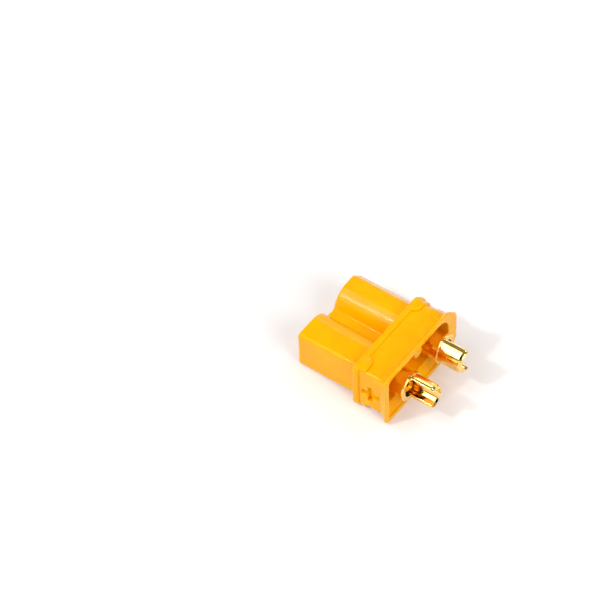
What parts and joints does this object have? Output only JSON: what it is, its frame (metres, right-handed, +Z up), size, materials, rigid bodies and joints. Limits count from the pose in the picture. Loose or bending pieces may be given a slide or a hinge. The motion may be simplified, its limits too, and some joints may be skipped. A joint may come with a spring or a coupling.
{
  "type": "battery connector socket",
  "caption": "Keyed socket half of a small battery connector: joined barrels, flange, neck, flared rear rim, and slotted contacts with solder cups.",
  "frame": {"origin": "middle of the lower face of the bounding box", "axes": "-Y points out of the barrels towards the mating half, +Y out of the solder cups, +X to the square, positive side, +Z up"},
  "size_m": [0.0106, 0.0126, 0.0058],
  "materials": {
    "moulded_nylon": "injection-moulded nylon, opaque amber yellow, satin",
    "gold_plated_brass": "turned brass with bright gold plating"
  },
  "bodies": {
    "root": {"housing": "moulded_nylon", "positive_contact": "gold_plated_brass", "negative_contact": "gold_plated_brass"}
  },
  "joints": []
}
